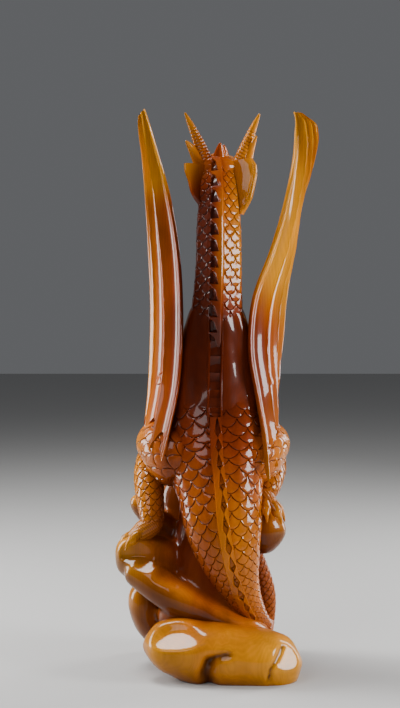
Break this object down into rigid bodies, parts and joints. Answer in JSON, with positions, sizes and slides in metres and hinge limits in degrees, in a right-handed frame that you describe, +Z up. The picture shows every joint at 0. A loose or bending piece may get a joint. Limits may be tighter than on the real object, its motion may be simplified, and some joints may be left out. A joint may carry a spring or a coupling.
{
  "type": "wooden dragon carving",
  "caption": "Varnished wooden carving of a winged, scaled dragon crouched on rocks, with raised wings, ringed horns and a crest down its back, for standing on a shelf or table.",
  "frame": {"origin": "on the floor, at the middle of the carving's box in X and Y", "axes": "+Z up; the dragon faces +Y, so its back, its crest and its tail are on the -Y side; +X is the dragon's right"},
  "size_m": [0.2214, 0.1872, 0.5996],
  "materials": {
    "varnished_wood": "hand carved from one log, golden sapwood outside and red-brown heartwood inside, under a glossy clear varnish"
  },
  "bodies": {
    "root": {"dragon_carving": "varnished_wood"}
  },
  "joints": []
}
